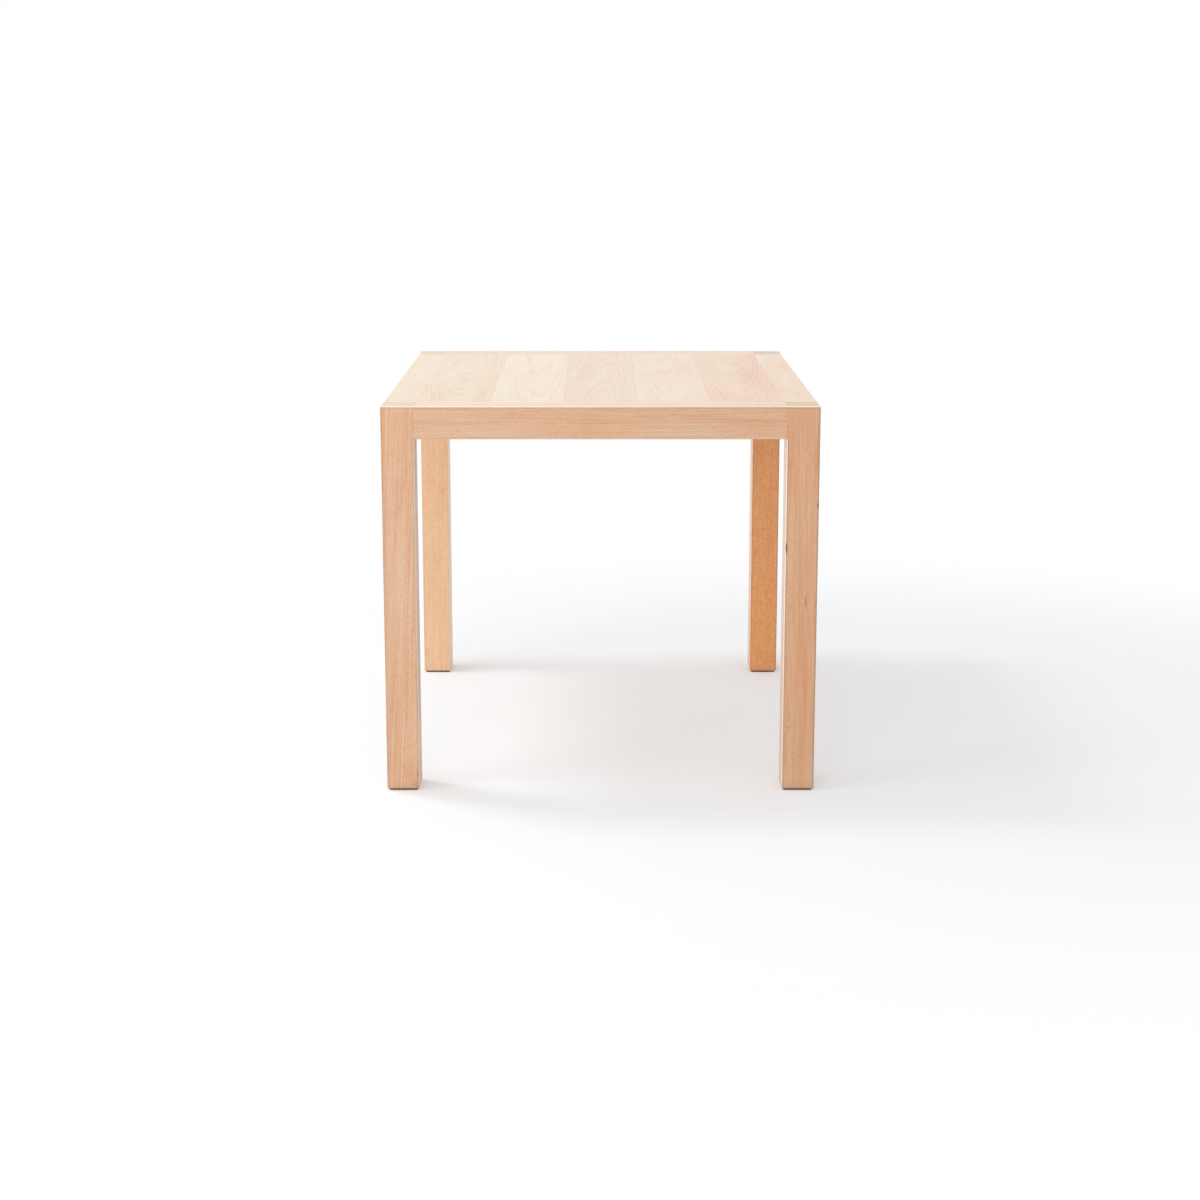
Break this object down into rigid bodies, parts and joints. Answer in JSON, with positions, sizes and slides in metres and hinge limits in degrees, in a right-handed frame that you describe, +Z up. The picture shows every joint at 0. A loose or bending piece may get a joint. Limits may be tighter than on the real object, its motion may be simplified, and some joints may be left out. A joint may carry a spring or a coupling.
{
  "type": "parsons dining table",
  "caption": "Square Parsons dining table in pale solid wood: flush legs and rails of one thickness round a flush boarded top, on felt pads.",
  "frame": {"origin": "on the floor, under the middle of the table top", "axes": "+Z up, -Y towards the front, +X to the right seen from the front"},
  "size_m": [0.8, 0.8, 0.73],
  "materials": {
    "leg_wood": "pale beech, sanded and clear matt oiled",
    "rail_wood": "pale beech, sanded and clear matt oiled",
    "board_wood": "pale beech, sanded and clear matt oiled",
    "bearer_wood": "pale beech, planed",
    "zinc_steel": "bright zinc plated",
    "dark_felt": "dark brown pressed felt"
  },
  "bodies": {
    "root": {"front_left_leg": "leg_wood", "front_right_leg": "leg_wood", "back_right_leg": "leg_wood", "back_left_leg": "leg_wood", "front_rail": "rail_wood", "right_rail": "rail_wood", "back_rail": "rail_wood", "left_rail": "rail_wood", "top_board_1": "board_wood", "top_board_2": "board_wood", "top_board_3": "board_wood", "top_board_4": "board_wood", "top_board_5": "board_wood", "front_bearer": "bearer_wood", "back_bearer": "bearer_wood", "bearer_screws": "zinc_steel", "bearer_washers": "zinc_steel", "front_left_foot_pad": "dark_felt", "front_right_foot_pad": "dark_felt", "back_right_foot_pad": "dark_felt", "back_left_foot_pad": "dark_felt"}
  },
  "joints": []
}
